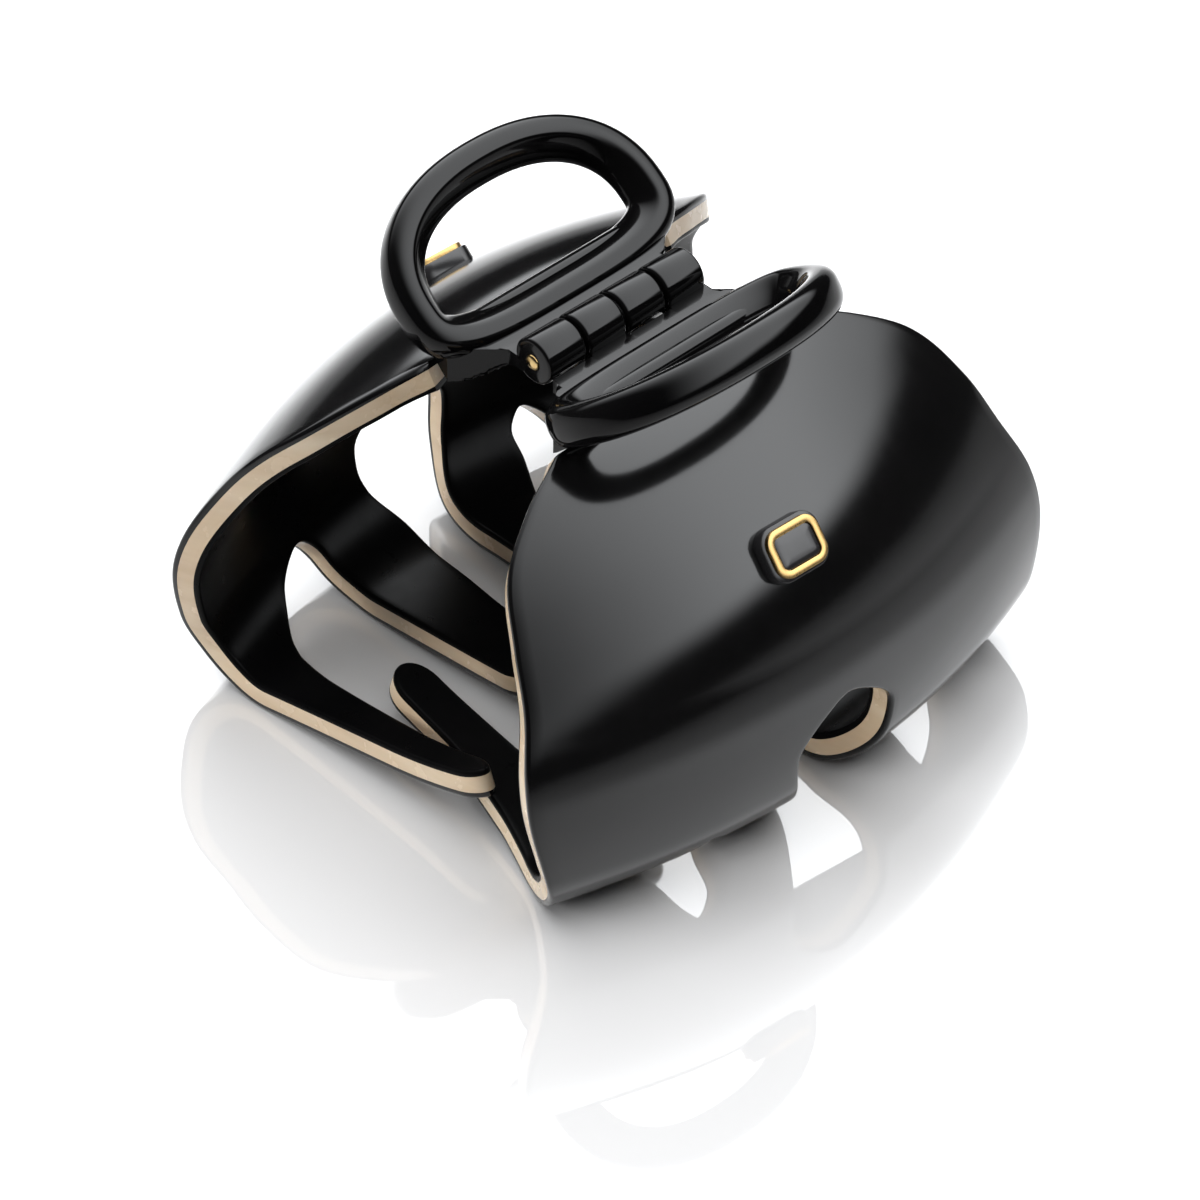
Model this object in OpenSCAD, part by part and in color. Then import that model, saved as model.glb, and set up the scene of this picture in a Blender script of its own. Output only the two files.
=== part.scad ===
// Large hair claw: two curved laminated jaws on one hinge pin, with a finger
// loop on each jaw and a torsion spring inside the hinge barrel.
// Units are millimetres. X runs across the jaws, Y along the hinge pin, Z up.
// The closed claw stands on the lower bends of both jaws, at z = 0.

/* [Jaw profile] */

// distance of each jaw's top edge from the middle plane
top_x = 12; // [11:0.5:14]
// steepness of the straight part at the top of a jaw, in degrees
top_slope = 46; // [44:1:48]
// length of the straight part at the top of a jaw
top_len = 13; // [11:0.5:15]
// radius of the long side bend
side_r = 48; // [46:0.5:50]
// radius of the lower bend that the claw stands on
foot_r = 11; // [10:0.5:12]
// rise of the teeth towards the middle, in degrees
tooth_rise = 9; // [8:0.5:11]
// length of the straight part of the teeth
tooth_len = 22; // [20:0.5:24]
// radius of the upward curl at the tooth tips
tip_curl_r = 70; // [60:1:90]

/* [Jaw width] */

// half width at the top edge
w_top = 20.5; // [19.5:0.5:22]
// half width at the shoulders
w_shoulder = 35; // [33:0.5:36]
// half width at the widest place
w_max = 45; // [44:0.5:46]
// half width at the lower bend
w_foot = 40; // [39.5:0.25:41]
// outward swell of a jaw's middle beyond its side edges
swell = 10.5; // [8:0.5:11.5]

/* [Laminate] */

// thickness of the dark outer sheet
outer_t = 0.9; // [0.8:0.05:1.1]
// thickness of the pale core sheet
core_t = 2.3; // [2:0.1:2.5]
// thickness of the dark inner sheet
inner_t = 0.8; // [0.7:0.05:0.9]

/* [Hinge] */

// height of the hinge axis above the jaw tops
hinge_rise = 3.4; // [3:0.1:4]
// radius of the hinge barrel
barrel_r = 3.25; // [3.1:0.05:3.6]
// length of the hinge barrel
barrel_len = 26.8; // [25:0.2:28]
// gap between neighbouring knuckles
knuckle_gap = 0.5; // [0.4:0.05:0.6]
// radius of the hinge pin
pin_r = 1.1; // [1:0.05:1.2]
// running clearance round the pin
pin_clear = 0.05; // [0.03:0.01:0.08]

/* [Finger loops] */

// slope of each finger loop above the horizontal, in degrees
loop_slope = 36; // [33:1:38]
// half width of a finger loop
loop_w = 22; // [21:0.25:22.5]
// height of a finger loop along its slope
loop_h = 20.4; // [19.6:0.2:21]
// width of the loop's band
loop_band = 5.8; // [5.4:0.1:6]
// thickness of the loop's band
loop_t = 5.5; // [5:0.1:5.8]

/* [Badge] */

// long side of the badge
badge_l = 9.25; // [8:0.25:10]
// short side of the badge
badge_w = 7.5; // [7:0.25:8.5]
// height of the dark badge base
badge_base_t = 1.7; // [1.4:0.1:2]
// thickness of the metal badge face
badge_face_t = 0.7; // [0.5:0.1:0.9]

/* [Spring] */

// radius of the spring wire
wire_r = 0.3; // [0.25:0.05:0.35]
// mean radius of the spring coil
coil_r = 1.95; // [1.9:0.05:2]

/* [Hidden] */

$fn = 64;
deg = 180 / PI;
total_t = outer_t + core_t + inner_t;

// stations along the side edge of a jaw, measured from its top edge
s_side = top_len;
s_foot = s_side + side_r * (90 - top_slope) / deg;
s_floor = s_foot + foot_r * (90 + tooth_rise) / deg;
s_curl = s_floor + tooth_len;

// heights that follow from the profile standing on z = 0
top_z = top_len * sin(top_slope) + side_r * cos(top_slope) + foot_r;
hinge_z = top_z + hinge_rise;
side_c = [
  top_x + top_len * cos(top_slope) - side_r * sin(top_slope),
  foot_r
];
foot_c = [side_c[0] + side_r - foot_r, foot_r];
floor_p = foot_c + foot_r * [cos(90 + tooth_rise), -sin(90 + tooth_rise)];
curl_p = floor_p + tooth_len * [-cos(tooth_rise), sin(tooth_rise)];
curl_c = curl_p + tip_curl_r * [sin(tooth_rise), cos(tooth_rise)];

// grid of the sheets: rows run down a jaw, four strips run side by side
row_step = 3;
rows_wall = 21;
rows_tooth = 6;
tip_turn = [32, 60, 80];
rows = rows_wall + rows_tooth + len(tip_turn);
cols = 5;
split_row = [18, 13, 18];
tip_s = [101.5, 94.5, 94.5, 107.5];
tip_r = [4.5, 4.5, 4.5, 4];

// half width of a jaw by station
w_list = [
  [0, w_top],
  [3.5, w_top + 7],
  [9.5, w_shoulder],
  [18, w_shoulder + 4.2],
  [26, w_max - 3.4],
  [34, w_max - 0.6],
  [41, w_max],
  [50, w_max - 1.7],
  [57, w_foot + 1.2],
  [64, w_foot],
  [90, w_foot - 2],
  [112, w_foot - 3.5]
];

// trimmed outer side of the first tooth, which passes inside the other jaw
trim_list = [[57, w_foot + 1.2], [63, 38.8], [69, 36.4], [76, 34], [88, 31.4], [112, 31]];

// the three slots between the teeth: low and high side by station
slot_lo = [
  [[54, -19.5], [57, -22], [62, -24], [70, -25], [112, -25]],
  [[39, 0.3], [42, -6], [46, -8], [54, -6.4], [62, -3], [72, -2], [84, -1], [112, -1]],
  [[54, 22], [57, 19.4], [60, 18.3], [66, 17.6], [112, 17.5]]
];
slot_hi = [
  [[54, -19.5], [57, -17], [62, -15.5], [70, -11.5], [80, -8], [90, -7], [112, -7]],
  [[39, 0.3], [42, 6.8], [46, 8.4], [54, 7.6], [62, 5], [72, 6], [84, 8], [112, 8]],
  [[54, 22], [57, 25.8], [60, 28], [66, 31], [76, 33], [112, 33]]
];

// one sub-part to show, or all of them

// ---- smooth interpolation between stations ----
function clamp(v, lo, hi) = min(max(v, lo), hi);
function mix(a, b, q) = a + (b - a) * q;
function span(list, s, i = 0) =
  i >= len(list) - 2 || s < list[i + 1][0] ? i : span(list, s, i + 1);
function grade(list, i) =
  let(a = list[max(i - 1, 0)], b = list[min(i + 1, len(list) - 1)])
  (b[1] - a[1]) / (b[0] - a[0]);
function smooth(list, s) =
  let(
    i = span(list, s),
    a = list[i],
    b = list[i + 1],
    h = b[0] - a[0],
    q = clamp((s - a[0]) / h, 0, 1)
  )
  a[1] * (1 + 2 * q) * (1 - q) * (1 - q)
  + grade(list, i) * h * q * (1 - q) * (1 - q)
  + b[1] * q * q * (3 - 2 * q)
  + grade(list, i + 1) * h * q * q * (q - 1);

// ---- outer surface of the right jaw ----
function edge_xz(s) =
  s < s_side ? [top_x + s * cos(top_slope), top_z - s * sin(top_slope)]
  : s < s_foot ? let(a = 90 - top_slope - (s - s_side) * deg / side_r)
    side_c + side_r * [cos(a), sin(a)]
  : s < s_floor ? let(a = (s - s_foot) * deg / foot_r)
    foot_c + foot_r * [cos(a), -sin(a)]
  : s < s_curl ? floor_p + (s - s_floor) * [-cos(tooth_rise), sin(tooth_rise)]
  : let(a = tooth_rise + (s - s_curl) * deg / tip_curl_r)
    curl_c + tip_curl_r * [-sin(a), -cos(a)];
function half_w(s) = smooth(w_list, s);
function bulge(s) =
  s < 30 ? swell * pow(sin(max(s, 0) * 3), 0.6)
  : s < 87 ? swell * pow(cos((s - 30) * 90 / 57), 1.35)
  : 0;
function bulge_dir(s) = 45 * (1 - clamp(s / 30, 0, 1));
function skin(s, y) =
  let(
    e = edge_xz(s),
    u = y / half_w(s),
    b = bulge(s) * (1 - u * u),
    d = bulge_dir(s)
  )
  [e[0] + b * cos(d), y, e[1] + b * sin(d)];
function unit(v) = v / norm(v);
function out_dir(s, y) =
  let(
    h = 0.6,
    lo = max(s - h, 0.02),
    along = skin(s + h, y) - skin(lo, y),
    across = skin(s, y + h) - skin(s, y - h)
  )
  unit(cross(along, across));
function sheet_pt(s, y, depth) = skin(s, y) - depth * out_dir(s, y);

// ---- tooth strips ----
function row_s(k, i) =
  i <= rows_wall ? i * row_step
  : i <= rows_wall + rows_tooth
    ? mix(rows_wall * row_step, tip_s[k] - tip_r[k], (i - rows_wall) / rows_tooth)
  : tip_s[k] - tip_r[k] + tip_r[k] * sin(tip_turn[i - rows_wall - rows_tooth - 1]);
function row_f(i) =
  i <= rows_wall + rows_tooth ? 1 : cos(tip_turn[i - rows_wall - rows_tooth - 1]);
function seam_y(k, s) =
  slot_lo[k][0][1] * half_w(s) / half_w(slot_lo[k][0][0]);
function strip_lo(k, s, i) =
  k == 0 ? (s > trim_list[0][0] ? -min(half_w(s), smooth(trim_list, s)) : -half_w(s))
  : i > split_row[k - 1] ? smooth(slot_hi[k - 1], s)
  : seam_y(k - 1, s);
function strip_hi(k, s, i) =
  k == 3 ? half_w(s)
  : i > split_row[k] ? smooth(slot_lo[k], s)
  : seam_y(k, s);
function strip_y(k, i, j) =
  let(
    s = row_s(k, i),
    lo = strip_lo(k, s, i),
    hi = strip_hi(k, s, i),
    q = j / cols - 0.5
  )
  (lo + hi) / 2 + (hi - lo) * row_f(i) * q;

// ---- a sheet between two depths below the outer surface ----
side_n = 4 * (cols + 1) * (rows + 1);
function own_id(k, j, i, side) =
  side * side_n + (k * (cols + 1) + j) * (rows + 1) + i;
function id(k, j, i, side) =
  j == cols && k < 3 && i <= split_row[k] ? own_id(k + 1, 0, i, side)
  : own_id(k, j, i, side);
function quad(a, b, c, d) = [[a, b, c], [a, c, d]];
function wall(k, j, i) =
  quad(id(k, j, i, 0), id(k, j, i + 1, 0), id(k, j, i + 1, 1), id(k, j, i, 1));
function cell(k, j, i, side) =
  quad(id(k, j, i, side), id(k, j, i + 1, side), id(k, j + 1, i + 1, side), id(k, j + 1, i, side));
function rim(k, j, i) =
  quad(id(k, j, i, 0), id(k, j + 1, i, 0), id(k, j + 1, i, 1), id(k, j, i, 1));
function flip(f) = [for (t = f) [t[0], t[2], t[1]]];
function join(lists) = [for (l = lists) for (t = l) t];

module sheet(d0, d1) {
  pts = [
    for (d = [d0, d1])
      for (k = [0 : 3])
        for (j = [0 : cols])
          for (i = [0 : rows])
            sheet_pt(row_s(k, i), strip_y(k, i, j), d)
  ];
  skins = join([
    for (k = [0 : 3])
      for (j = [0 : cols - 1])
        for (i = [0 : rows - 1])
          join([
            flip(cell(k, j, i, 0)),
            cell(k, j, i, 1)
          ])
  ]);
  lows = join([
    for (k = [0 : 3])
      for (i = [(k == 0 ? 0 : split_row[k - 1]) : rows - 1])
        wall(k, 0, i)
  ]);
  highs = join([
    for (k = [0 : 3])
      for (i = [(k == 3 ? 0 : split_row[k]) : rows - 1])
        flip(wall(k, cols, i))
  ]);
  ends = join([
    for (k = [0 : 3])
      for (j = [0 : cols - 1])
        join([
          flip(rim(k, j, 0)),
          rim(k, j, rows)
        ])
  ]);
  polyhedron(points = pts, faces = join([skins, lows, highs, ends]), convexity = 8);
}

module outer_sheet() {
  sheet(0, outer_t);
}

module core_sheet() {
  sheet(outer_t, outer_t + core_t);
}

module inner_sheet() {
  sheet(outer_t + core_t, total_t);
}

// ---- handle: finger loop, web and two knuckles in one piece ----
function arch(a, b, lo, n = 36) =
  let(t0 = asin(pow(lo / b, 1.1)))
  [
    for (i = [0 : n])
      let(t = mix(t0, 180 - t0, i / n), c = cos(t))
      [
        i == 0 || i == n ? lo : b * pow(sin(t), 2 / 2.2),
        a * sign(c) * pow(abs(c), 2 / 2.2)
      ]
  ];

knuckle_len = (barrel_len - 3 * knuckle_gap) / 4;
function knuckle_y(i) = -barrel_len / 2 + i * (knuckle_len + knuckle_gap);

module along_y(r, y0, len) {
  translate([0, y0, 0])
    rotate([-90, 0, 0])
      cylinder(r = r, h = len);
}

// place of the loop's straight side, and how far the band reaches past it
loop_base = [top_x - 1.3, 0, top_z + 3.2];
loop_foot = 4.6;
// height of the hole's straight side
hole_foot = 1.2;

module loop_outline() {
  polygon(concat(
    [
      [-2, -loop_w + 0.6],
      [-loop_foot + 0.8, -loop_w + 2.2],
      [-loop_foot, -loop_w + 5],
      [-loop_foot, loop_w - 5],
      [-loop_foot + 0.8, loop_w - 2.2],
      [-2, loop_w - 0.6]
    ],
    arch(loop_w, loop_h, 0)
  ));
}

module loop_band_plate() {
  difference() {
    translate(loop_base)
      rotate([0, -loop_slope, 0])
        difference() {
          translate([0, 0, -loop_t / 2])
            linear_extrude(height = loop_t)
              loop_outline();
          translate([0, 0, -loop_t])
            linear_extrude(height = 2 * loop_t)
              polygon(arch(loop_w - loop_band, loop_h - loop_band, hole_foot));
        }
    // room for the top edge of the sheets
    translate([top_x, 0, top_z])
      rotate([0, top_slope, 0])
        translate([0, -2 * loop_w, -12])
          cube([8, 4 * loop_w, 13.6]);
  }
}

// end of the web that meets the top edge of the sheets
web_cut = total_t * [-sin(top_slope), -cos(top_slope)];

module web() {
  intersection() {
    rotate([90, 0, 0])
      linear_extrude(height = 2 * loop_w, center = true)
        polygon([
          [1.5, hinge_z - 0.4],
          [4, hinge_z - 0.6],
          [top_x - 3.6, hinge_z - 0.4],
          [top_x - 1.6, hinge_z + 0.8],
          [top_x + 0.6, top_z + 3.4],
          [top_x + 0.9, top_z + 1.2],
          [top_x, top_z],
          [top_x + web_cut[0], top_z + web_cut[1]],
          [top_x - 5.5, top_z - 1.6],
          [1.5, hinge_z - 2.8]
        ]);
    translate([0, 0, top_z - 10])
      linear_extrude(height = 30)
        polygon([
          [0, -barrel_len / 2],
          [4.5, -barrel_len / 2],
          [8.5, -w_top + 1],
          [10, -w_top],
          [top_x + 4, -w_top],
          [top_x + 4, w_top],
          [10, w_top],
          [8.5, w_top - 1],
          [4.5, barrel_len / 2],
          [0, barrel_len / 2]
        ]);
  }
}

module handle() {
  difference() {
    union() {
      difference() {
        union() {
          web();
          loop_band_plate();
        }
        // room for the other jaw's knuckles
        for (i = [0, 2])
          translate([0, 0, hinge_z])
            along_y(
              barrel_r + 0.35,
              knuckle_y(i) - (i == 0 ? 1 : knuckle_gap),
              knuckle_len + knuckle_gap + (i == 0 ? 1 : knuckle_gap)
            );
      }
      for (i = [1, 3])
        translate([0, 0, hinge_z])
          along_y(barrel_r, knuckle_y(i), knuckle_len);
    }
    // bore for the pin
    translate([0, 0, hinge_z])
      along_y(pin_r + pin_clear, -barrel_len, 2 * barrel_len);
    // room for the spring in the knuckle next to the middle
    translate([0, 0, hinge_z])
      along_y(coil_r + wire_r + 0.25, -spring_half, spring_half + 1);
  }
}

// ---- pin and spring ----
module pin() {
  translate([0, 0, hinge_z])
    rotate([90, 0, 0])
      rotate_extrude()
        polygon([
          [0, -barrel_len / 2 - 0.15],
          [pin_r - 0.2, -barrel_len / 2 - 0.15],
          [pin_r, -barrel_len / 2 + 0.05],
          [pin_r, barrel_len / 2 + 0.05],
          [pin_r - 0.15, barrel_len / 2 + 0.25],
          [pin_r * 0.5, barrel_len / 2 + 0.4],
          [0, barrel_len / 2 + 0.45]
        ]);
}

spring_half = 5.2;
turns = 13;
steps = 12;
ring = 5;
function coil_mid(q) =
  [
    coil_r * cos(360 * turns * q),
    mix(-spring_half + wire_r + 0.2, spring_half - wire_r - 0.2, q),
    coil_r * sin(360 * turns * q)
  ];
function coil_pt(q, a) =
  let(t = 360 * turns * q, c = [cos(t), 0, sin(t)])
  coil_mid(q) + wire_r * (cos(a) * c + sin(a) * [0, 1, 0]);

module spring() {
  n = turns * steps;
  pts = concat(
    [for (i = [0 : n]) for (j = [0 : ring - 1]) coil_pt(i / n, 360 * j / ring)],
    [coil_mid(0), coil_mid(1)]
  );
  last = (n + 1) * ring;
  tube = join([
    for (i = [0 : n - 1])
      for (j = [0 : ring - 1])
        let(b = i * ring, m = (j + 1) % ring)
        flip(quad(b + j, b + m, b + ring + m, b + ring + j))
  ]);
  caps = join([
    for (j = [0 : ring - 1])
      let(m = (j + 1) % ring)
      [[last, j, m], [last + 1, n * ring + m, n * ring + j]]
  ]);
  translate([0, 0, hinge_z])
    polyhedron(points = pts, faces = concat(tube, caps), convexity = 6);
}

// ---- badge on the crown of a jaw ----
badge_s = 19.6;
badge_y = -2.4;
badge_sink = 0.35;
badge_p = skin(badge_s, badge_y);
badge_n = out_dir(badge_s, badge_y);

module rounded_plate(l, w, r, t) {
  linear_extrude(height = t)
    union() {
      square([w - 2 * r, l], center = true);
      square([w, l - 2 * r], center = true);
      for (x = [-1, 1])
        for (y = [-1, 1])
          translate([x * (w / 2 - r), y * (l / 2 - r)])
            circle(r = r);
    }
}

module on_badge(h) {
  translate(badge_p + h * badge_n)
    rotate([0, acos(badge_n[2]), atan2(badge_n[1], badge_n[0])])
      children();
}

module badge_base() {
  on_badge(-badge_sink)
    rounded_plate(badge_l, badge_w, 2.4, badge_base_t + badge_sink);
}

module badge_face() {
  on_badge(badge_base_t)
    rounded_plate(badge_l - 1, badge_w - 1, 2, badge_face_t);
}

// ---- left jaw: the right jaw turned half round the middle ----
module turned() {
  rotate([0, 0, 180])
    children();
}

module left_outer_sheet() {
  color([0.02, 0.02, 0.02])
    turned()
      outer_sheet();
}

module left_core_sheet() {
  color([0.85, 0.78, 0.68])
    turned()
      core_sheet();
}

module left_inner_sheet() {
  color([0.03, 0.03, 0.03])
    turned()
      inner_sheet();
}

module left_handle() {
  color([0.02, 0.02, 0.02])
    turned()
      handle();
}

module left_badge_base() {
  color([0.05, 0.05, 0.05])
    turned()
      badge_base();
}

module left_badge_face() {
  color([0.85, 0.66, 0.32])
    turned()
      badge_face();
}

module right_outer_sheet() {
  color([0.02, 0.02, 0.02])
    outer_sheet();
}

module right_core_sheet() {
  color([0.85, 0.78, 0.68])
    core_sheet();
}

module right_inner_sheet() {
  color([0.03, 0.03, 0.03])
    inner_sheet();
}

module right_handle() {
  color([0.02, 0.02, 0.02])
    handle();
}

module right_badge_base() {
  color([0.05, 0.05, 0.05])
    badge_base();
}

module right_badge_face() {
  color([0.85, 0.66, 0.32])
    badge_face();
}

module hinge_pin() {
  color([0.8, 0.62, 0.3])
    pin();
}

module torsion_spring() {
  color([0.6, 0.6, 0.62])
    spring();
}

left_outer_sheet();
left_core_sheet();
left_inner_sheet();
left_handle();
left_badge_base();
left_badge_face();
right_outer_sheet();
right_core_sheet();
right_inner_sheet();
right_handle();
right_badge_base();
right_badge_face();
hinge_pin();
torsion_spring();
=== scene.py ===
"""A large laminated hair claw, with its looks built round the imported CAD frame."""
import math

import bmesh
import bpy
from mathutils import Matrix, Vector

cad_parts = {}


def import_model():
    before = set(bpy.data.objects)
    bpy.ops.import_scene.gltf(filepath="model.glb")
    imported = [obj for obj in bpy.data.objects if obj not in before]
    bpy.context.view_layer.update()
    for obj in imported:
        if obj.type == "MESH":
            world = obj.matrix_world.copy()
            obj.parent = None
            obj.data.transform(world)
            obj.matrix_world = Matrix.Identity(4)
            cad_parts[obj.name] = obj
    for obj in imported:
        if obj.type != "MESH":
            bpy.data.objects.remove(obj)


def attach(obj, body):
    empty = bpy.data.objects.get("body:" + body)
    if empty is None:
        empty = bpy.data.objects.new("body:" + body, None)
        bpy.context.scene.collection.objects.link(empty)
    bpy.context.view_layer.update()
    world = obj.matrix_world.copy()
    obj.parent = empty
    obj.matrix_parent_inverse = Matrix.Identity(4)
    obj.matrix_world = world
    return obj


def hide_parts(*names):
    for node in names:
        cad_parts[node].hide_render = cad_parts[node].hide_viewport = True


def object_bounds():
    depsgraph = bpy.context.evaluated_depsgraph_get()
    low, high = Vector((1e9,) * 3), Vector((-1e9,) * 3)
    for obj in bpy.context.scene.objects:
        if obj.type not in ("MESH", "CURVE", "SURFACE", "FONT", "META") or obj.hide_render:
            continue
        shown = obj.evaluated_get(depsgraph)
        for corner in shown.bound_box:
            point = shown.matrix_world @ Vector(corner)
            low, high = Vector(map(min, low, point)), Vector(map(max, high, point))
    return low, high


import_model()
CAD_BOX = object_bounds()
MM = 0.001

# ---- sizes of the jaw, in millimetres, as in the CAD model ----
TOP_X, TOP_SLOPE, TOP_LEN = 12.0, 46.0, 13.0
SIDE_R, FOOT_R, TIP_CURL_R = 48.0, 11.0, 70.0
TOOTH_RISE, TOOTH_LEN = 9.0, 22.0
W_TOP, W_SHOULDER, W_MAX, W_FOOT = 20.5, 35.0, 45.0, 40.0
# the swell grows from the top edge to SWELL_PEAK and has faded out at SWELL_END
SWELL, SWELL_PEAK, SWELL_END, SWELL_TILT = 10.5, 30, 87, 45
SWELL_RISE, SWELL_FALL = 0.6, 1.35
OUTER_T, CORE_T, INNER_T = 0.9, 2.3, 0.8
TOTAL_T = OUTER_T + CORE_T + INNER_T
BARREL_R, BARREL_LEN, KNUCKLE_GAP, BORE_R = 3.25, 26.8, 0.5, 1.15
HINGE_RISE, LOOP_SLOPE = 3.4, 36.0
DEG = 180 / math.pi

S_SIDE = TOP_LEN
S_FOOT = S_SIDE + SIDE_R * (90 - TOP_SLOPE) / DEG
S_FLOOR = S_FOOT + FOOT_R * (90 + TOOTH_RISE) / DEG
S_CURL = S_FLOOR + TOOTH_LEN
S_WALL = 63.0
TIP_S = (101.5, 94.5, 94.5, 107.5)
TIP_R = (4.5, 4.5, 4.5, 4.0)
SPLIT_S = (54.0, 39.0, 54.0)

WIDTHS = (
    (0, W_TOP), (3.5, W_TOP + 7), (9.5, W_SHOULDER), (18, W_SHOULDER + 4.2),
    (26, W_MAX - 3.4), (34, W_MAX - 0.6), (41, W_MAX), (50, W_MAX - 1.7),
    (57, W_FOOT + 1.2), (64, W_FOOT), (90, W_FOOT - 2), (112, W_FOOT - 3.5),
)
TRIM = ((57, W_FOOT + 1.2), (63, 38.8), (69, 36.4), (76, 34), (88, 31.4), (112, 31))
# low and high side of each slot by station; near the top of a slot they meet in a round arch
SLOT_LO = (
    ((54, -21.5), (57, -22.6), (62, -24), (70, -25), (112, -25)),
    ((39, -4), (42, -6.4), (46, -8), (54, -6.4), (62, -3), (72, -2), (84, -1), (112, -1)),
    ((54, 19.2), (57, 18.7), (60, 18.3), (66, 17.6), (112, 17.5)),
)
SLOT_HI = (
    ((54, -18), (57, -16.6), (62, -15.5), (70, -11.5), (80, -8), (90, -7), (112, -7)),
    ((39, 4.5), (42, 7), (46, 8.4), (54, 7.6), (62, 5), (72, 6), (84, 8), (112, 8)),
    ((54, 24.5), (57, 26.4), (60, 28), (66, 31), (76, 33), (112, 33)),
)
SLOT_Y = (-19.5, 0.3, 22.0)
SLOT_ARCH = (4.0, 6.0, 4.5)


def sind(a):
    return math.sin(math.radians(a))


def cosd(a):
    return math.cos(math.radians(a))


def clamp(v, lo=0.0, hi=1.0):
    return min(max(v, lo), hi)


def mix(a, b, q):
    return a + (b - a) * q


def smooth(stations, s):
    """Smooth curve through (station, value) pairs."""
    i = 0
    while i < len(stations) - 2 and s >= stations[i + 1][0]:
        i += 1

    def grade(j):
        a, b = stations[max(j - 1, 0)], stations[min(j + 1, len(stations) - 1)]
        return (b[1] - a[1]) / (b[0] - a[0])

    a, b = stations[i], stations[i + 1]
    h = b[0] - a[0]
    q = clamp((s - a[0]) / h)
    rest = (1 - q) * (1 - q)
    return (a[1] * (1 + 2 * q) * rest + grade(i) * h * q * rest
            + b[1] * q * q * (3 - 2 * q) + grade(i + 1) * h * q * q * (q - 1))


# ---- outer surface of the right jaw ----
TOP_Z = TOP_LEN * sind(TOP_SLOPE) + SIDE_R * cosd(TOP_SLOPE) + FOOT_R
HINGE_Z = TOP_Z + HINGE_RISE
SIDE_C = (TOP_X + TOP_LEN * cosd(TOP_SLOPE) - SIDE_R * sind(TOP_SLOPE), FOOT_R)
FOOT_C = (SIDE_C[0] + SIDE_R - FOOT_R, FOOT_R)
FLOOR_P = (FOOT_C[0] - FOOT_R * sind(TOOTH_RISE), FOOT_C[1] - FOOT_R * cosd(TOOTH_RISE))
CURL_P = (FLOOR_P[0] - TOOTH_LEN * cosd(TOOTH_RISE), FLOOR_P[1] + TOOTH_LEN * sind(TOOTH_RISE))
CURL_C = (CURL_P[0] + TIP_CURL_R * sind(TOOTH_RISE), CURL_P[1] + TIP_CURL_R * cosd(TOOTH_RISE))


def edge_xz(s):
    """Side edge of the jaw's outer surface at station s."""
    if s < S_SIDE:
        return TOP_X + s * cosd(TOP_SLOPE), TOP_Z - s * sind(TOP_SLOPE)
    if s < S_FOOT:
        a = 90 - TOP_SLOPE - (s - S_SIDE) * DEG / SIDE_R
        return SIDE_C[0] + SIDE_R * cosd(a), SIDE_C[1] + SIDE_R * sind(a)
    if s < S_FLOOR:
        a = (s - S_FOOT) * DEG / FOOT_R
        return FOOT_C[0] + FOOT_R * cosd(a), FOOT_C[1] - FOOT_R * sind(a)
    if s < S_CURL:
        d = s - S_FLOOR
        return FLOOR_P[0] - d * cosd(TOOTH_RISE), FLOOR_P[1] + d * sind(TOOTH_RISE)
    a = TOOTH_RISE + (s - S_CURL) * DEG / TIP_CURL_R
    return CURL_C[0] - TIP_CURL_R * sind(a), CURL_C[1] - TIP_CURL_R * cosd(a)


def half_w(s):
    """Half the jaw's length along the hinge at station s."""
    return smooth(WIDTHS, s)


def bulge(s):
    """How far the middle of the jaw stands out past its side edges at station s."""
    if s < SWELL_PEAK:
        return SWELL * sind(max(s, 0) * (90 / SWELL_PEAK)) ** SWELL_RISE
    if s < SWELL_END:
        return SWELL * cosd((s - SWELL_PEAK) * 90 / (SWELL_END - SWELL_PEAK)) ** SWELL_FALL
    return 0.0


def skin(s, y):
    """Point of the outer surface at station s and place y along the hinge."""
    ex, ez = edge_xz(s)
    u = y / half_w(s)
    b = bulge(s) * (1 - u * u)
    d = SWELL_TILT * (1 - clamp(s / SWELL_PEAK))
    return Vector((ex + b * cosd(d), y, ez + b * sind(d)))


def out_dir(s, y):
    """Normal of the outer surface, pointing out."""
    h = 0.6
    along = skin(s + h, y) - skin(max(s - h, 0.02), y)
    across = skin(s, y + h) - skin(s, y - h)
    return along.cross(across).normalized()


# ---- strips of sheet between the slots ----
def slot_side(k, s, stations):
    """One side of slot k at station s, drawn in to a round arch at its top."""
    q = clamp((s - SPLIT_S[k]) / SLOT_ARCH[k])
    arch = math.sqrt(1 - (1 - q) ** 2)
    return mix(SLOT_Y[k], smooth(stations[k], s), arch)


def seam_y(k, s):
    """Where strips k and k + 1 meet above slot k."""
    return SLOT_Y[k] * half_w(s) / half_w(SPLIT_S[k])


def strip_lo(k, s):
    if k == 0:
        return -min(half_w(s), smooth(TRIM, s)) if s > TRIM[0][0] else -half_w(s)
    return slot_side(k - 1, s, SLOT_HI) if s > SPLIT_S[k - 1] else seam_y(k - 1, s)


def strip_hi(k, s):
    if k == 3:
        return half_w(s)
    return slot_side(k, s, SLOT_LO) if s > SPLIT_S[k] else seam_y(k, s)


def wall_rows(step=0.75):
    """Stations from the top edge to where the teeth part, closer together at each slot's arch."""
    rows = {round(i * step, 3) for i in range(int(S_WALL / step) + 1)}
    for split in SPLIT_S:
        rows |= {round(split + d, 3) for d in (0.06, 0.2, 0.42)}
    return sorted(rows)


WALL_ROWS = wall_rows()
TOOTH_ROWS = 44
TIP_TURNS = (12, 24, 36, 48, 58, 67, 75, 82, 87)
COLS = 14


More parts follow.
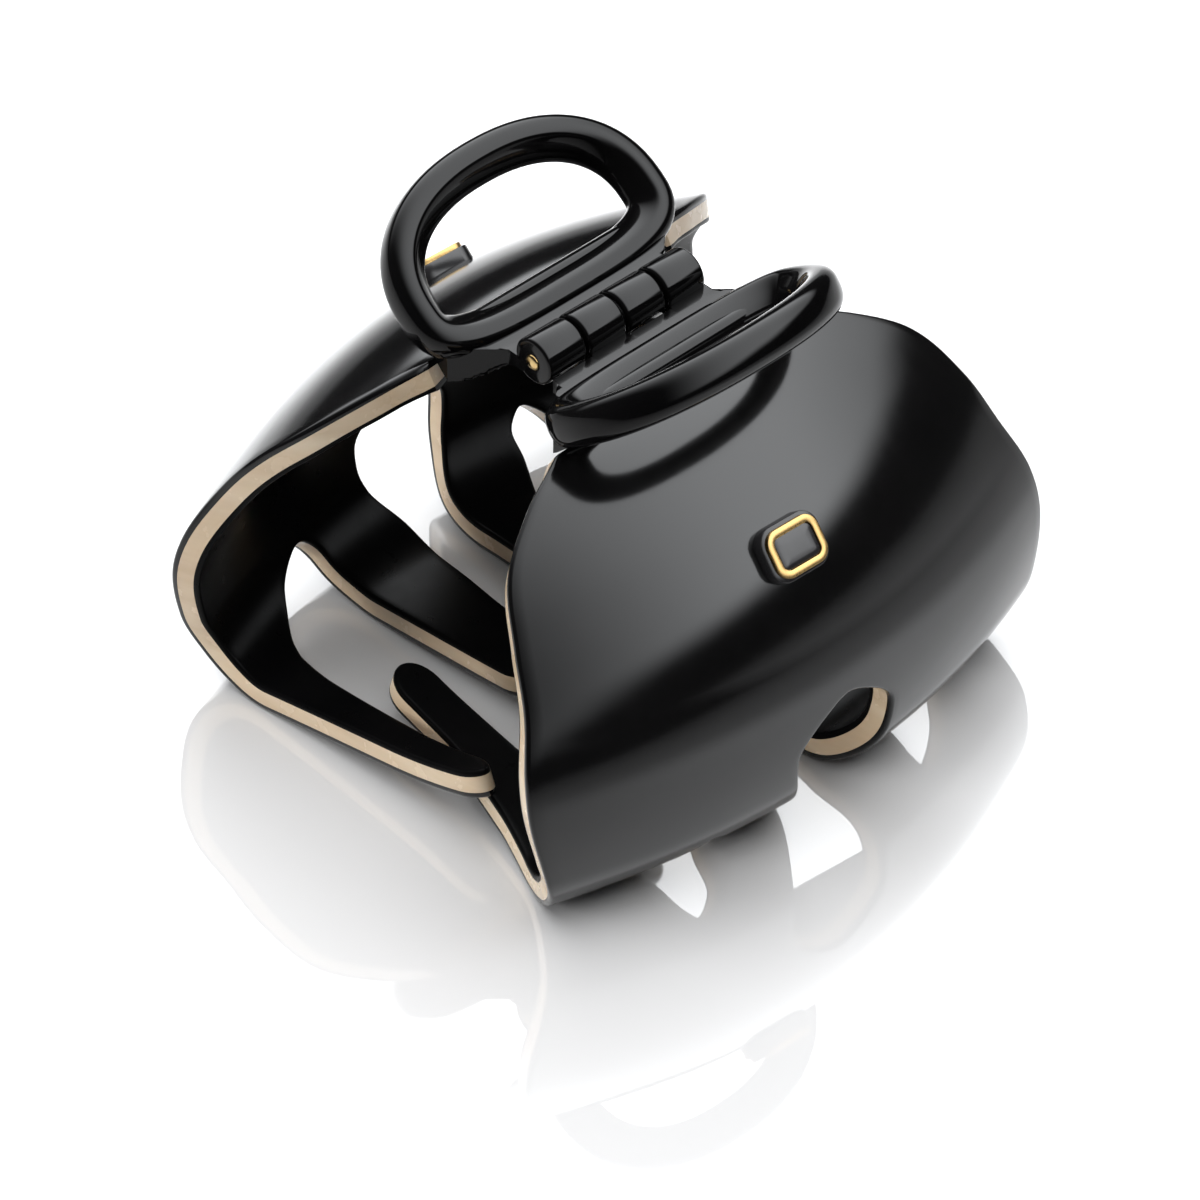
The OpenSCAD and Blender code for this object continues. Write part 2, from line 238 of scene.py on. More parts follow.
def strip_rows(k):
    """(station, width factor) of every row of strip k."""
    rows = [(s, 1.0) for s in WALL_ROWS]
    end = TIP_S[k] - TIP_R[k]
    rows += [(mix(S_WALL, end, (i + 1) / TOOTH_ROWS), 1.0) for i in range(TOOTH_ROWS)]
    rows += [(end + TIP_R[k] * sind(a), cosd(a)) for a in TIP_TURNS]
    return rows


def strip_sides(k):
    """Low and high side of strip k as lists of (s, y), row by row."""
    low, high = [], []
    for s, f in strip_rows(k):
        lo, hi = strip_lo(k, s), strip_hi(k, s)
        mid, half = (lo + hi) / 2, (hi - lo) / 2 * f
        low.append(Vector((s, mid - half)))
        high.append(Vector((s, mid + half)))
    return low, high


def inset_line(line, first, side, d):
    """The line moved into the sheet by d from row first on."""
    out = []
    for i, p in enumerate(line):
        if i < first or d == 0:
            out.append(p)
            continue
        a, b = line[max(i - 1, first)], line[min(i + 1, len(line) - 1)]
        t = (b - a).normalized()
        n = Vector((-t.y, t.x)) if side < 0 else Vector((t.y, -t.x))
        if i == 0:
            n = Vector((0, -side))
        out.append(p + n * d)
    return out


SPLIT_ROW = [WALL_ROWS.index(s) for s in SPLIT_S]
SIDES = [strip_sides(k) for k in range(4)]


def first_row(k, side):
    """Row where strip k's free edge starts on that side."""
    if side < 0:
        return 0 if k == 0 else SPLIT_ROW[k - 1]
    return 0 if k == 3 else SPLIT_ROW[k]


class Sheet:
    """One layer of the laminate as a closed mesh, from the outer depth to the inner one."""

    def __init__(self):
        self.verts = []
        self.faces = []
        self.cache = {}

    def vert(self, s, y, depth):
        key = (round(s, 4), round(y, 4), round(depth, 4))
        if key not in self.cache:
            self.cache[key] = len(self.verts)
            self.verts.append(skin(s, y) - out_dir(s, y) * depth)
        return self.cache[key]

    def grid(self, depth, inset, up):
        """A face of the layer; returns its side lines as vertex numbers."""
        lines = []
        for k in range(4):
            low = inset_line(SIDES[k][0], first_row(k, -1), -1, inset)
            high = inset_line(SIDES[k][1], first_row(k, 1), 1, inset)
            if k > 0:
                low[SPLIT_ROW[k - 1]] = apex(k - 1, inset)
            if k < 3:
                high[SPLIT_ROW[k]] = apex(k, inset)
            ids = []
            for a, b in zip(low, high):
                row = [a.lerp(b, j / COLS) for j in range(COLS + 1)]
                ids.append([self.vert(p.x, p.y, depth) for p in row])
            for i in range(len(ids) - 1):
                for j in range(COLS):
                    f = [ids[i][j], ids[i + 1][j], ids[i + 1][j + 1], ids[i][j + 1]]
                    self.face(f if up else f[::-1])
            lines.append(([r[0] for r in ids], [r[-1] for r in ids], ids[0], ids[-1]))
        return lines

    def face(self, f):
        out = [v for i, v in enumerate(f) if v != f[i - 1]]
        if len(out) > 2:
            self.faces.append(out)

    def join(self, upper, lower):
        """Edge walls between two rings of side lines."""
        for k in range(4):
            for i in range(first_row(k, -1), len(upper[k][0]) - 1):
                u, v = upper[k][0], lower[k][0]
                self.face([u[i], v[i], v[i + 1], u[i + 1]])
            for i in range(first_row(k, 1), len(upper[k][1]) - 1):
                u, v = upper[k][1], lower[k][1]
                self.face([u[i], u[i + 1], v[i + 1], v[i]])
            for j in range(COLS):
                u, v = upper[k][2], lower[k][2]
                self.face([u[j], u[j + 1], v[j + 1], v[j]])
                u, v = upper[k][3], lower[k][3]
                self.face([u[j], v[j], v[j + 1], u[j + 1]])

    def ring(self, depth, inset):
        """Side lines alone, with no face."""
        keep = len(self.faces)
        lines = self.grid(depth, inset, True)
        del self.faces[keep:]
        return lines


def apex(k, inset):
    """Top of slot k, moved into the sheet by inset."""
    return Vector((SPLIT_S[k] - inset, SLOT_Y[k]))


def sheet_mesh(name, rings):
    """rings: (depth, inset) pairs from the layer's outer face to its inner one."""
    sheet = Sheet()
    last = sheet.grid(*rings[0], True)
    for depth, inset in rings[1:-1]:
        line = sheet.ring(depth, inset)
        sheet.join(last, line)
        last = line
    line = sheet.grid(*rings[-1], False)
    sheet.join(last, line)
    return build(name, sheet.verts, sheet.faces)


# ---- mesh helpers ----
CREASE = 38
WELD_M = 2e-7


def build(name, verts, faces, sharp=CREASE):
    """A mesh object from millimetre points, smooth but for edges steeper than sharp degrees."""
    mesh = bpy.data.meshes.new(name)
    mesh.from_pydata([tuple(c * MM for c in v) for v in verts], [], faces)
    bm = bmesh.new()
    bm.from_mesh(mesh)
    loose = [v for v in bm.verts if not v.link_faces]
    bmesh.ops.delete(bm, geom=loose, context="VERTS")
    bmesh.ops.remove_doubles(bm, verts=bm.verts, dist=WELD_M)
    bmesh.ops.recalc_face_normals(bm, faces=bm.faces)
    finish_bmesh(bm, mesh, sharp)
    return show(name, mesh)


def finish_bmesh(bm, mesh, sharp):
    """Smooth shading with sharp edges, written to the mesh."""
    for f in bm.faces:
        f.smooth = True
    for e in bm.edges:
        if len(e.link_faces) == 2:
            e.smooth = e.calc_face_angle(0) < math.radians(sharp)
    bm.to_mesh(mesh)
    bm.free()


def show(name, mesh):
    obj = bpy.data.objects.new(name, mesh)
    bpy.context.scene.collection.objects.link(obj)
    return obj


def ring_faces(faces, start, n, m):
    """Quads of a tube closed on itself: n sections of m points."""
    for i in range(n):
        for j in range(m):
            a, b = i * m + j, i * m + (j + 1) % m
            c, d = (i + 1) % n * m + (j + 1) % m, (i + 1) % n * m + j
            faces.append([start + a, start + b, start + c, start + d])


def tube_faces(faces, start, rows, n, first_cap=-1):
    """Quads of an open tube of n-point sections, and a cap at each end."""
    for i in range(rows - 1):
        for j in range(n):
            a, b = start + i * n + j, start + i * n + (j + 1) % n
            faces.append([a, b, b + n, a + n])
    last = start + (rows - 1) * n
    faces.append([start + j for j in range(n)][::first_cap])
    faces.append([last + j for j in range(n)][::-first_cap])


def turned_copy(obj, name):
    """The same piece turned half round the vertical axis."""
    mesh = obj.data.copy()
    mesh.transform(Matrix.Rotation(math.pi, 4, "Z"))
    return show(name, mesh)


def place(obj, body, slot, material, *nodes):
    """Gives a piece its material and body, and hides the CAD nodes that it replaces; slot is not
    used.
    """
    obj.data.materials.clear()
    obj.data.materials.append(material)
    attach(obj, body)
    if nodes:
        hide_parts(*nodes)


def both_jaws(make, part, slot, material):
    """Builds a piece for the right jaw and its turned copy for the left jaw."""
    right = make("right_" + part + "_look")
    left = turned_copy(right, "left_" + part + "_look")
    place(right, "right_jaw", slot, material, "right_" + part)
    place(left, "left_jaw", slot, material, "left_" + part)


# ---- the three sheets ----
EDGE_R = 0.5


def outer_sheet(name):
    turn = (90, 68, 45, 22)
    rings = [(EDGE_R * (1 - sind(a)), EDGE_R * (1 - cosd(a))) for a in turn]
    rings += [(EDGE_R, 0), (OUTER_T, 0)]
    return sheet_mesh(name, rings)


def core_sheet(name):
    return sheet_mesh(name, [(OUTER_T, 0), (OUTER_T + CORE_T, 0)])


def inner_sheet(name):
    turn = (22, 45, 68, 90)
    rings = [(OUTER_T + CORE_T, 0), (TOTAL_T - EDGE_R, 0)]
    rings += [(TOTAL_T - EDGE_R * (1 - sind(a)), EDGE_R * (1 - cosd(a))) for a in turn]
    return sheet_mesh(name, rings)


# ---- handle: ring, web and knuckles ----
RING_W, RING_TOP, RING_FOOT = 18.9, 13.2, 6.0
RING_MID, RING_LIFT, RING_BACK = 4.2, 3.2, 1.3
RING_POWER_TOP, RING_POWER_FOOT = 2 / 2.25, 2 / 3.2
# the ring's cross-section: (outward, across) from its middle line
SECTION = (
    (2.95, 0), (2.75, 1.6), (1.8, 2.5), (0.4, 2.75), (-0.5, 2.5), (-2.7, 0.3),
    (-2.95, -1.0), (-2.3, -2.5), (0, -3.1), (1.9, -2.8), (2.8, -1.7),
)


def corner_cut(points, times):
    """Rounds a closed outline by cutting its corners again and again."""
    for _ in range(times):
        out = []
        for a, b in zip(points, points[1:] + points[:1]):
            out += [a.lerp(b, 0.25), a.lerp(b, 0.75)]
        points = out
    return points


def loop_frame():
    """Start, slope and normal of the plane that the finger ring lies in."""
    base = Vector((TOP_X - RING_BACK, 0, TOP_Z + RING_LIFT))
    up = Vector((cosd(LOOP_SLOPE), 0, sind(LOOP_SLOPE)))
    out = Vector((-sind(LOOP_SLOPE), 0, cosd(LOOP_SLOPE)))
    return base, up, out


def ring_point(t):
    """Middle line of the finger ring: (v up the slope, y)."""
    c, s = math.cos(t), math.sin(t)
    rise, power = (RING_TOP, RING_POWER_TOP) if s >= 0 else (RING_FOOT, RING_POWER_FOOT)
    v = RING_MID + rise * math.copysign(abs(s) ** power, s)
    return Vector((v, RING_W * math.copysign(abs(c) ** power, c)))


def even_path(fn, n, fine=2400):
    """n evenly spaced points of a closed curve."""
    pts = [fn(2 * math.pi * i / fine) for i in range(fine)]
    run = [0.0]
    for a, b in zip(pts, pts[1:] + pts[:1]):
        run.append(run[-1] + (b - a).length)
    out, j = [], 0
    for i in range(n):
        want = run[-1] * i / n
        while run[j + 1] < want:
            j += 1
        q = (want - run[j]) / max(run[j + 1] - run[j], 1e-9)
        out.append(pts[j].lerp(pts[(j + 1) % fine], q))
    return out


def ring_part(verts, faces, n=220):
    base, up, out = loop_frame()
    path = even_path(ring_point, n)
    section = corner_cut([Vector(p) for p in SECTION], 2)
    start, m = len(verts), len(section)
    for i, p in enumerate(path):
        t = (path[(i + 1) % n] - path[i - 1]).normalized()
        normal = Vector((t.y, -t.x))
        if normal.dot(p - Vector((RING_MID, 0))) < 0:
            normal = -normal
        for a, b in section:
            q = p + normal * a
            verts.append(base + up * q.x + Vector((0, q.y, 0)) + out * b)
    ring_faces(faces, start, n, m)


def web_profile():
    """Outline of the web in x and z, rounded at its corners."""
    h = HINGE_Z
    pts = [
        (1.2, h - 0.5), (4.4, h - 0.7), (7.4, h - 0.6), (9.0, h - 0.1),
        (10.2, h + 0.8), (11.4, h + 1.0), (12.4, h + 0.2), (12.9, TOP_Z + 1.6),
        (12.6, TOP_Z + 0.6), (TOP_X, TOP_Z),
        (TOP_X - TOTAL_T * sind(TOP_SLOPE), TOP_Z - TOTAL_T * cosd(TOP_SLOPE)),
        (TOP_X - 5.5, TOP_Z - 1.6), (4, h - 2.6), (1.2, h - 2.6),
    ]
    return corner_cut([Vector(p) for p in pts], 2)


KNUCKLE_LEN = (BARREL_LEN - 3 * KNUCKLE_GAP) / 4
# the handle's own knuckles; the turned handle's fall on 2 and 0
OWN_KNUCKLES = (1, 3)
# how near the hinge axis the web comes: at its own knuckles, beside the
# other handle's, and past the barrel from its end to the web's end
OWN_X, POCKET_X, FLANK_X, END_X = 1.2, BARREL_R + 0.4, 4.4, 9.6
WEB_W, WEB_ROUND, WEB_THIN = 19.0, 1.2, 0.65
STEP_Y = 0.02


def knuckle_y(i):
    return -BARREL_LEN / 2 + i * (KNUCKLE_LEN + KNUCKLE_GAP)


def web_from(y):
    """How near the hinge axis the web comes at y."""
    if abs(y) > BARREL_LEN / 2:
        past = (abs(y) - BARREL_LEN / 2) / (WEB_W - BARREL_LEN / 2)
        return mix(FLANK_X, END_X, clamp(past))
    for i in OWN_KNUCKLES:
        if knuckle_y(i) - 1e-6 <= y <= knuckle_y(i) + KNUCKLE_LEN + 1e-6:
            return OWN_X
    return POCKET_X


def web_stations():
    """Places along the hinge where the web's section is set, two at each step."""
    ys = []
    for i in range(4):
        a = knuckle_y(i)
        b = a + KNUCKLE_LEN
        ys += [a - STEP_Y, a, mix(a, b, 1 / 3), mix(a, b, 2 / 3), b, b + STEP_Y]
        if i not in OWN_KNUCKLES:
            ys += [a + STEP_Y, b - STEP_Y]
    side = [mix(BARREL_LEN / 2 + 0.1, WEB_W, i / 12) for i in range(13)]
    ys += side + [-y for y in side]
    return sorted(set(round(y, 4) for y in ys))


def web_part(verts, faces):
    """The web from the ring to the knuckles, thinned toward its two ends."""
    profile, ys = web_profile(), web_stations()
    start = len(verts)
    for y in ys:
        inner = web_from(y)
        close = clamp((WEB_W - abs(y)) / WEB_ROUND)
        thin = math.sqrt(1 - (1 - close) ** 2) * (1 - WEB_THIN) + WEB_THIN
        for p in profile:
            x = max(p.x, inner)
            z = mix(TOP_Z + 1.2, p.y, thin) if p.y > TOP_Z + 1.2 else p.y
            verts.append(Vector((x, y, z)))
    tube_faces(faces, start, len(ys), len(profile), first_cap=1)


def lathe_part(verts, faces, outline, seg=72):
    """Turns an outline of (y, radius) round the hinge axis."""
    start, m = len(verts), len(outline)
    for i in range(seg):
        a = 2 * math.pi * i / seg
        for y, r in outline:
            verts.append(Vector((r * math.cos(a), y, HINGE_Z + r * math.sin(a))))
    ring_faces(faces, start, seg, m)


def knuckle_outline(y0, y1, round_r=0.45):
    """Half section of a knuckle with its bore and rounded rims."""
    turn = (0, 22, 45, 68, 90)
    lo = [(y0 + round_r * (1 - sind(a)), BARREL_R - round_r * (1 - cosd(a))) for a in turn]
    hi = [(y1 - round_r * (1 - sind(a)), BARREL_R - round_r * (1 - cosd(a))) for a in turn]
    return [(y0, BORE_R)] + lo[::-1] + hi + [(y1, BORE_R)]


def handle(name):
    """Finger ring, web and two knuckles, moulded in one piece."""
    verts, faces = [], []
    ring_part(verts, faces)
    web_part(verts, faces)
    for i in OWN_KNUCKLES:
        lathe_part(verts, faces, knuckle_outline(knuckle_y(i), knuckle_y(i) + KNUCKLE_LEN))
    return build(name, verts, faces)


# ---- pin and spring ----
def hinge_pin(name):
    """The pin through the four knuckles, domed at both ends."""
    verts, faces = [], []
    end, r = BARREL_LEN / 2, 1.1
    dome = [(end + 0.05 + 0.4 * sind(a), r * cosd(a)) for a in (0, 20, 40, 60, 80)]
    outline = [(-y, q) for y, q in dome[::-1]] + [(-end, r)] + [(end, r)] + dome
    outline = [(-end - 0.46, 0.02)] + outline + [(end + 0.46, 0.02)]
    lathe_part(verts, faces, outline, 40)
    return build(name, verts, faces)


def torsion_spring(name):
    """A close coil of wire round the pin, without its legs."""
    wire, radius, half, turns, per_turn, sides = 0.29, 1.95, 4.7, 14, 36, 10
    n = turns * per_turn
    verts, faces = [], []
    for i in range(n + 1):
        q = i / n
        a = 2 * math.pi * turns * q
        mid = Vector((radius * math.cos(a), mix(-half, half, q), HINGE_Z + radius * math.sin(a)))
        out = Vector((math.cos(a), 0, math.sin(a)))
        for j in range(sides):
            b = 2 * math.pi * j / sides
            verts.append(mid + out * wire * math.cos(b) + Vector((0, wire * math.sin(b), 0)))
    tube_faces(faces, 0, n + 1, sides)
    return build(name, verts, faces, sharp=60)


# ---- badge ----
BADGE_S, BADGE_Y = 19.6, -2.4
BADGE_L, BADGE_W, BADGE_CORNER = 9.25, 7.5, 2.4
BADGE_BASE_T, BADGE_FACE_T = 1.7, 0.7
# the metal plate is this much smaller than its base, over all
PLATE_STEP, PLATE_CORNER = 1, 2.0
LEAST_CORNER = 0.15


def badge_frame():
    """The badge's middle on the shell, its two axes there and the normal."""
    at, out = skin(BADGE_S, BADGE_Y), out_dir(BADGE_S, BADGE_Y)
    side = Vector((-out.y, out.x, 0)).normalized()
    return at, side.cross(out).normalized(), side, out


def rounded_outline(l, w, r, per_corner=8):
    """Points of a rounded rectangle, w along the first axis and l along the second."""
    pts = []
    for cx, cy, a0 in ((1, 1, 0), (-1, 1, 90), (-1, -1, 180), (1, -1, 270)):
        for i in range(per_corner + 1):
            a = a0 + 90 * i / per_corner
            pts.append(((w / 2 - r) * cx + r * cosd(a), (l / 2 - r) * cy + r * sind(a)))
    return pts


def plate_part(verts, faces, levels, l, w, r):
    """Stacks rounded rectangles: levels are (height, inset) pairs from the bottom up."""
    at, ax, ay, out = badge_frame()
    start = len(verts)
    for h, inset in levels:
        corner = max(r - inset, LEAST_CORNER)
        pts = rounded_outline(l - 2 * inset, w - 2 * inset, corner)
        verts += [at + ax * px + ay * py + out * h for px, py in pts]
    tube_faces(faces, start, len(levels), len(pts))


def badge_base(name):
    """The raised dark base, sunk a little into the shell."""
    verts, faces = [], []
    top = BADGE_BASE_T
    levels = [(-0.35, 0), (top - 0.25, 0), (top - 0.08, 0.08), (top, 0.25)]
    plate_part(verts, faces, levels, BADGE_L, BADGE_W, BADGE_CORNER)
    return build(name, verts, faces)


def badge_face(name):
    """A plain plate with a raised rim and a shallow hollow inside it."""
    verts, faces = [], []
    low, top = BADGE_BASE_T, BADGE_BASE_T + BADGE_FACE_T
    levels = [
        (low, 0), (top - 0.2, 0), (top - 0.06, 0.07), (top, 0.22), (top, 0.85),
        (top - 0.06, 1.0), (top - 0.4, 1.1), (top - 0.4, 2.0),
    ]
    plate_part(verts, faces, levels, BADGE_L - PLATE_STEP, BADGE_W - PLATE_STEP, PLATE_CORNER)
    return build(name, verts, faces)


def badge_inlay(name):
    """Dark enamel that fills the hollow of the plate, slightly domed."""
    verts, faces = [], []
    top = BADGE_BASE_T + BADGE_FACE_T
    levels = [
        (top - 0.36, 1.12), (top - 0.26, 1.12), (top - 0.2, 1.25), (top - 0.15, 1.8),
        (top - 0.13, 2.4),
    ]
    plate_part(verts, faces, levels, BADGE_L - PLATE_STEP, BADGE_W - PLATE_STEP, PLATE_CORNER)
    return build(name, verts, faces)


# ---- materials ----
def new_material(name):
    mat = bpy.data.materials.new(name)
    mat.use_nodes = True
    tree = mat.node_tree
    return mat, tree, tree.nodes["Principled BSDF"]


def object_noise(tree, scale, detail=3.0, stretch=(1, 1, 1)):
    """Noise in the object's own coordinates."""
    coords = tree.nodes.new("ShaderNodeTexCoord")
    mapping = tree.nodes.new("ShaderNodeMapping")
    mapping.inputs["Scale"].default_value = stretch
    noise = tree.nodes.new("ShaderNodeTexNoise")
    noise.inputs["Scale"].default_value = scale
    noise.inputs["Detail"].default_value = detail
    tree.links.new(coords.outputs["Object"], mapping.inputs["Vector"])
    tree.links.new(mapping.outputs["Vector"], noise.inputs["Vector"])
    return noise.outputs["Fac"]


def ramp(tree, factor, stops):
    """stops: (position, colour) pairs."""
    node = tree.nodes.new("ShaderNodeValToRGB")
    elements = node.color_ramp.elements
    elements[0].position, elements[0].color = stops[0][0], (*stops[0][1], 1)
    elements[1].position, elements[1].color = stops[-1][0], (*stops[-1][1], 1)
    for pos, colour in stops[1:-1]:
        e = elements.new(pos)
        e.color = (*colour, 1)
    tree.links.new(factor, node.inputs["Fac"])
    return node.outputs["Color"]


def map_range(tree, factor, lo, hi):
    """A factor from 0 to 1 spread over lo to hi."""
    node = tree.nodes.new("ShaderNodeMapRange")
    node.inputs["To Min"].default_value = lo
    node.inputs["To Max"].default_value = hi
    tree.links.new(factor, node.inputs["Value"])
    return node.outputs["Result"]


def bump(tree, bsdf, height, strength, distance):
    node = tree.nodes.new("ShaderNodeBump")
    node.inputs["Strength"].default_value = strength
    node.inputs["Distance"].default_value = distance
    tree.links.new(height, node.inputs["Height"])
    tree.links.new(node.outputs["Normal"], bsdf.inputs["Normal"])


def dark_acetate(name="dark_acetate", base=0.0025, rough=(0.1, 0.15), ior=1.5):
    """Polished near-black cellulose acetate with a faint depth of colour and hand polish."""
    mat, tree, bsdf = new_material(name)
    cloud = object_noise(tree, 60, 4)
    deep, clear = (base, base, base * 1.1), (base * 2, base * 1.9, base * 2)
    colour = ramp(tree, cloud, [(0.3, deep), (0.75, clear)])
    tree.links.new(colour, bsdf.inputs["Base Color"])
    polish = object_noise(tree, 420, 5)
    tree.links.new(map_range(tree, polish, *rough), bsdf.inputs["Roughness"])
    bsdf.inputs["IOR"].default_value = ior
    bump(tree, bsdf, object_noise(tree, 90, 1), 0.05, 0.0004)
    return mat


def ivory_acetate():
    """The pale core, seen on the cut edges, with faint streaks along the sheet."""
    mat, tree, bsdf = new_material("ivory_acetate")
    streaks = object_noise(tree, 35, 4, (1, 1, 6))
    stops = [(0.3, (0.56, 0.42, 0.28)), (0.55, (0.66, 0.52, 0.36)), (0.8, (0.74, 0.62, 0.46))]
    tree.links.new(ramp(tree, streaks, stops), bsdf.inputs["Base Color"])
    rough = map_range(tree, object_noise(tree, 300, 4), 0.18, 0.34)
    tree.links.new(rough, bsdf.inputs["Roughness"])
    bsdf.inputs["Subsurface Weight"].default_value = 0.25
    bsdf.inputs["Subsurface Radius"].default_value = (0.0012, 0.0008, 0.0005)
    bsdf.inputs["Coat Weight"].default_value = 0.3
    bsdf.inputs["Coat Roughness"].default_value = 0.08
    bump(tree, bsdf, object_noise(tree, 500, 3), 0.08, 0.0001)
    return mat


def metal(name, colour, worn, rough, grain=(1, 1, 1), scale=900):
    """Metal whose colour and roughness vary together along fine marks."""
    mat, tree, bsdf = new_material(name)
    bsdf.inputs["Metallic"].default_value = 1.0
    marks = object_noise(tree, scale, 4, grain)
    tree.links.new(ramp(tree, marks, [(0.3, worn), (0.7, colour)]), bsdf.inputs["Base Color"])
    tree.links.new(map_range(tree, marks, *rough), bsdf.inputs["Roughness"])
    bump(tree, bsdf, marks, 0.06, 0.00005)
    return mat


# ---- stage, lights and camera ----
FLOOR_HALF, FLOOR_GAP = 1.4, 0.0001


def floor():
    """A pale floor with a clear polished coat, just under the claw."""
    mesh = bpy.data.meshes.new("floor")
    bm = bmesh.new()
    bmesh.ops.create_grid(bm, x_segments=8, y_segments=8, size=FLOOR_HALF)
    bm.to_mesh(mesh)
    bm.free()
    obj = show("floor", mesh)
    obj.location.z = CAD_BOX[0][2] - FLOOR_GAP
    mat, tree, bsdf = new_material("white_acrylic")
    stops = [(0.3, (0.80, 0.80, 0.805)), (0.7, (0.83, 0.83, 0.835))]
    shade = ramp(tree, object_noise(tree, 3, 2), stops)
    tree.links.new(shade, bsdf.inputs["Base Color"])
    bsdf.inputs["Roughness"].default_value = 0.5
    bsdf.inputs["Coat Weight"].default_value = 1.0
    bsdf.inputs["Coat Roughness"].default_value = 0.02
    bsdf.inputs["Coat IOR"].default_value = 1.9
    mesh.materials.append(mat)


def hang(name, data, at, away):
    """Adds a lamp with its back to away. It is hidden from reflections, which show the world."""
    obj = bpy.data.objects.new(name, data)
    bpy.context.scene.collection.objects.link(obj)
    obj.location = at
    obj.rotation_euler = away.to_track_quat("Z", "Y").to_euler()
    obj.visible_glossy = False


def softbox(name, at, size, power):
    """A wide lamp that faces the claw."""
    data = bpy.data.lights.new(name, "AREA")
    data.shape = "RECTANGLE"
    data.size, data.size_y = size
    data.energy = power
    hang(name, data, at, Vector(at))


def pool(name, at, toward, angle, power):
    """A soft-edged spot that brightens the floor beside the claw."""
    data = bpy.data.lights.new(name, "SPOT")
    data.energy = power
    data.spot_size = math.radians(angle)
    data.spot_blend = 0.7
    data.shadow_soft_size = 0.05
    hang(name, data, at, Vector(at) - Vector(toward))


def lights():
    softbox("overhead", at=(0, 0, 1.5), size=(2.4, 2.4), power=41)
    softbox("front_fill", at=(-0.85, -0.95, 0.28), size=(0.9, 0.5), power=13)
    pool("left_floor", at=(-0.30, 0.20, 0.5), toward=(-0.17, 0.11, 0), angle=26, power=18)


def math_node(tree, operation, a, b):
    """A Math node on socket a and on b, which is a socket or a number."""
    node = tree.nodes.new("ShaderNodeMath")
    node.operation = operation
    tree.links.new(a, node.inputs[0])
    if isinstance(b, float):
        node.inputs[1].default_value = b
    else:
        tree.links.new(b, node.inputs[1])
    return node.outputs[0]


def between(tree, value, lo, hi, to_lo=0.0, to_hi=1.0):
    """Smooth step of a value from lo to hi."""
    node = tree.nodes.new("ShaderNodeMapRange")
    node.interpolation_type = "SMOOTHSTEP"
    for name, v in (("From Min", lo), ("From Max", hi), ("To Min", to_lo), ("To Max", to_hi)):
        node.inputs[name].default_value = v
    tree.links.new(value, node.inputs["Value"])
    return node.outputs["Result"]


SKY_LOW, SKY_HIGH, SKY_TILT, SKY_STRENGTH = 0.19, 0.355, 0.15, 4.6


def world():
    """Dark at the horizon, bright above and behind the claw; lights no diffuse surface."""
    w = bpy.data.worlds.new("studio")
    bpy.context.scene.world = w
    w.use_nodes = True
    w.cycles_visibility.diffuse = False
    tree = w.node_tree
    back = tree.nodes["Background"]
    coords = tree.nodes.new("ShaderNodeTexCoord")
    axes = tree.nodes.new("ShaderNodeSeparateXYZ")
    tree.links.new(coords.outputs["Generated"], axes.inputs["Vector"])
    tilt = math_node(tree, "MULTIPLY", axes.outputs["Y"], SKY_TILT)
    tilted = math_node(tree, "SUBTRACT", axes.outputs["Z"], tilt)
    height = between(tree, tilted, SKY_LOW, SKY_HIGH)
    side = between(tree, axes.outputs["Y"], -0.5, 0.55)
    far = between(tree, axes.outputs["Y"], 0.6, 1.0, 1.0, 0.35)
    glow = math_node(tree, "MULTIPLY", math_node(tree, "MULTIPLY", height, side), far)
    shade = ramp(tree, glow, [(0.0, (0.005, 0.005, 0.005)), (1.0, (0.96, 0.98, 1.0))])
    tree.links.new(shade, back.inputs["Color"])
    back.inputs["Strength"].default_value = SKY_STRENGTH


AZIMUTH, ELEVATION, ROLL = 45.99, 41.51, 0.56
SCALE_PX, FOCAL_PX, FRAME_PX, SENSOR_MM = 7.7, 7890.0, 1200.0, 36.0
SHIFT_X, SHIFT_Y = 1.01, -7.15


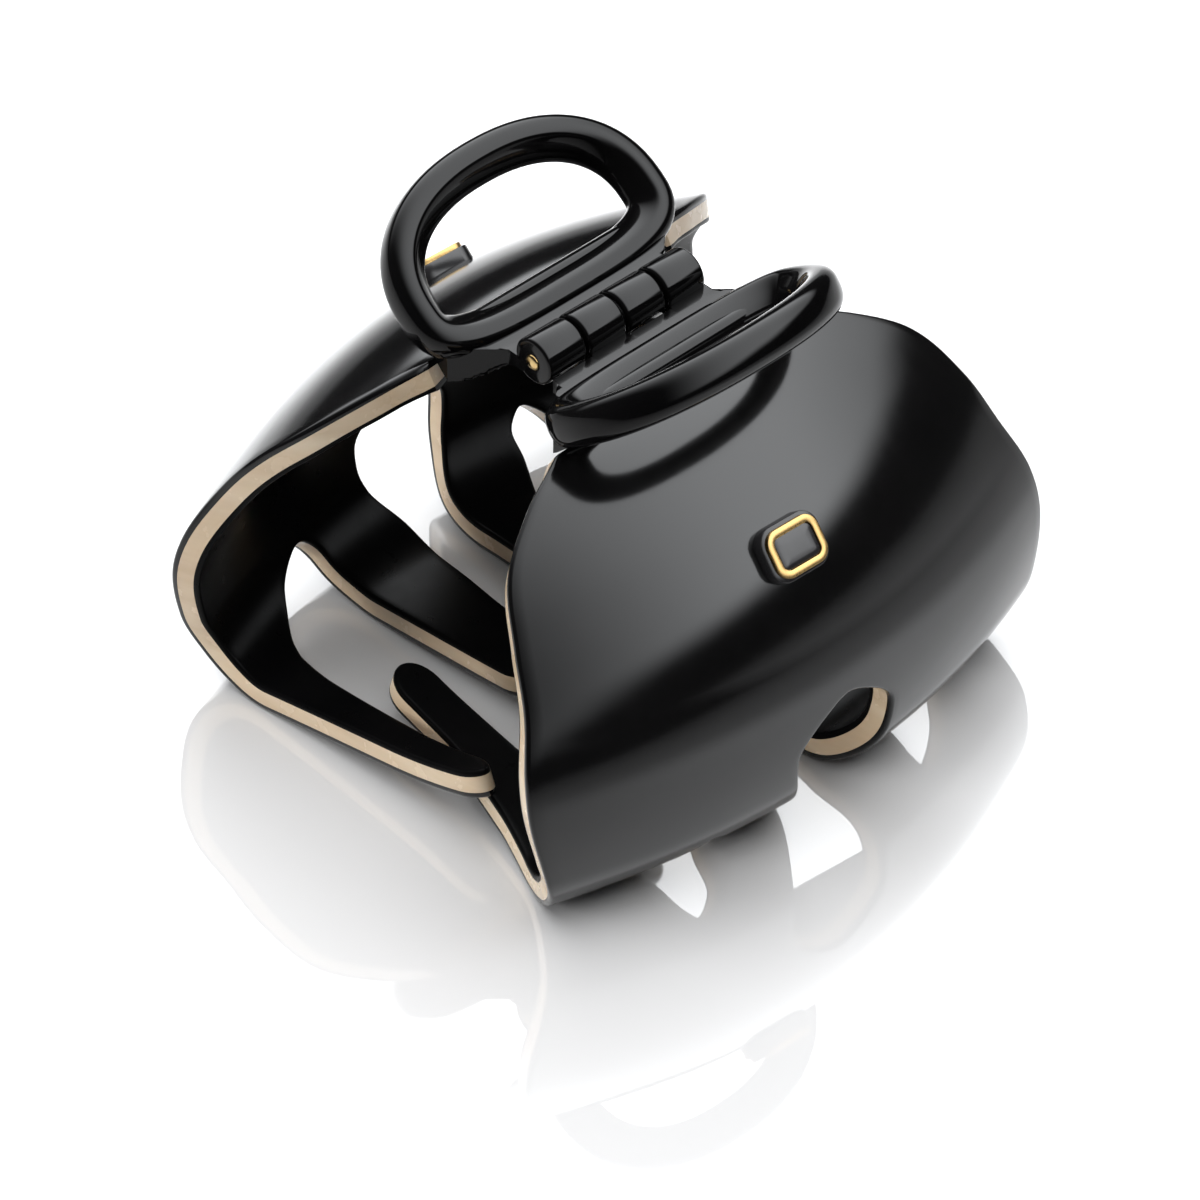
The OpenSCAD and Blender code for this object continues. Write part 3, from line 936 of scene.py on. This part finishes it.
def camera():
    """A long lens at the height and turn of a product shot."""
    right = Vector((cosd(AZIMUTH), sind(AZIMUTH), 0))
    level = cosd(ELEVATION)
    back = Vector((sind(AZIMUTH) * level, -cosd(AZIMUTH) * level, sind(ELEVATION)))
    up = back.cross(right)
    distance = FOCAL_PX / SCALE_PX
    at = back * distance - right * SHIFT_X - up * SHIFT_Y
    turn = Matrix((right, up, back)).transposed() @ Matrix.Rotation(math.radians(ROLL), 3, "Z")
    data = bpy.data.cameras.new("camera")
    data.sensor_width = SENSOR_MM
    data.lens = FOCAL_PX / FRAME_PX * SENSOR_MM
    data.clip_start, data.clip_end = 0.05, 20
    obj = bpy.data.objects.new("camera", data)
    bpy.context.scene.collection.objects.link(obj)
    obj.matrix_world = Matrix.Translation(at * MM) @ turn.to_4x4()
    bpy.context.scene.camera = obj


def main():
    dark, ivory = dark_acetate(), ivory_acetate()
    lining = dark_acetate("dark_lining", 0.002, (0.24, 0.34), 1.14)
    moulded = dark_acetate("dark_moulding", 0.002, (0.05, 0.1), 1.33)
    enamel = dark_acetate("badge_enamel", 0.012, (0.15, 0.25))
    gold = metal("gold_plate", (0.5, 0.34, 0.14), (0.38, 0.24, 0.09), (0.22, 0.36), (1, 12, 1))
    brass = metal("brass", (0.92, 0.68, 0.32), (0.8, 0.55, 0.24), (0.12, 0.28))
    steel = metal("spring_steel", (0.62, 0.62, 0.64), (0.45, 0.45, 0.47), (0.2, 0.38))
    both_jaws(outer_sheet, "outer_sheet", "dark_acetate", dark)
    both_jaws(core_sheet, "core_sheet", "ivory_acetate", ivory)
    both_jaws(inner_sheet, "inner_sheet", "dark_acetate", lining)
    both_jaws(handle, "handle", "dark_acetate", moulded)
    both_jaws(badge_base, "badge_base", "badge_enamel", enamel)
    both_jaws(badge_face, "badge_face", "gold_plate", gold)
    inlay = badge_inlay("right_badge_inlay")
    place(inlay, "right_jaw", "badge_enamel", enamel)
    place(turned_copy(inlay, "left_badge_inlay"), "left_jaw", "badge_enamel", enamel)
    place(hinge_pin("hinge_pin_look"), "left_jaw", "brass", brass, "hinge_pin")
    spring = torsion_spring("torsion_spring_look")
    place(spring, "left_jaw", "spring_steel", steel, "torsion_spring")
    floor()
    lights()
    world()
    camera()
    bpy.context.scene.view_settings.view_transform = "Standard"


main()
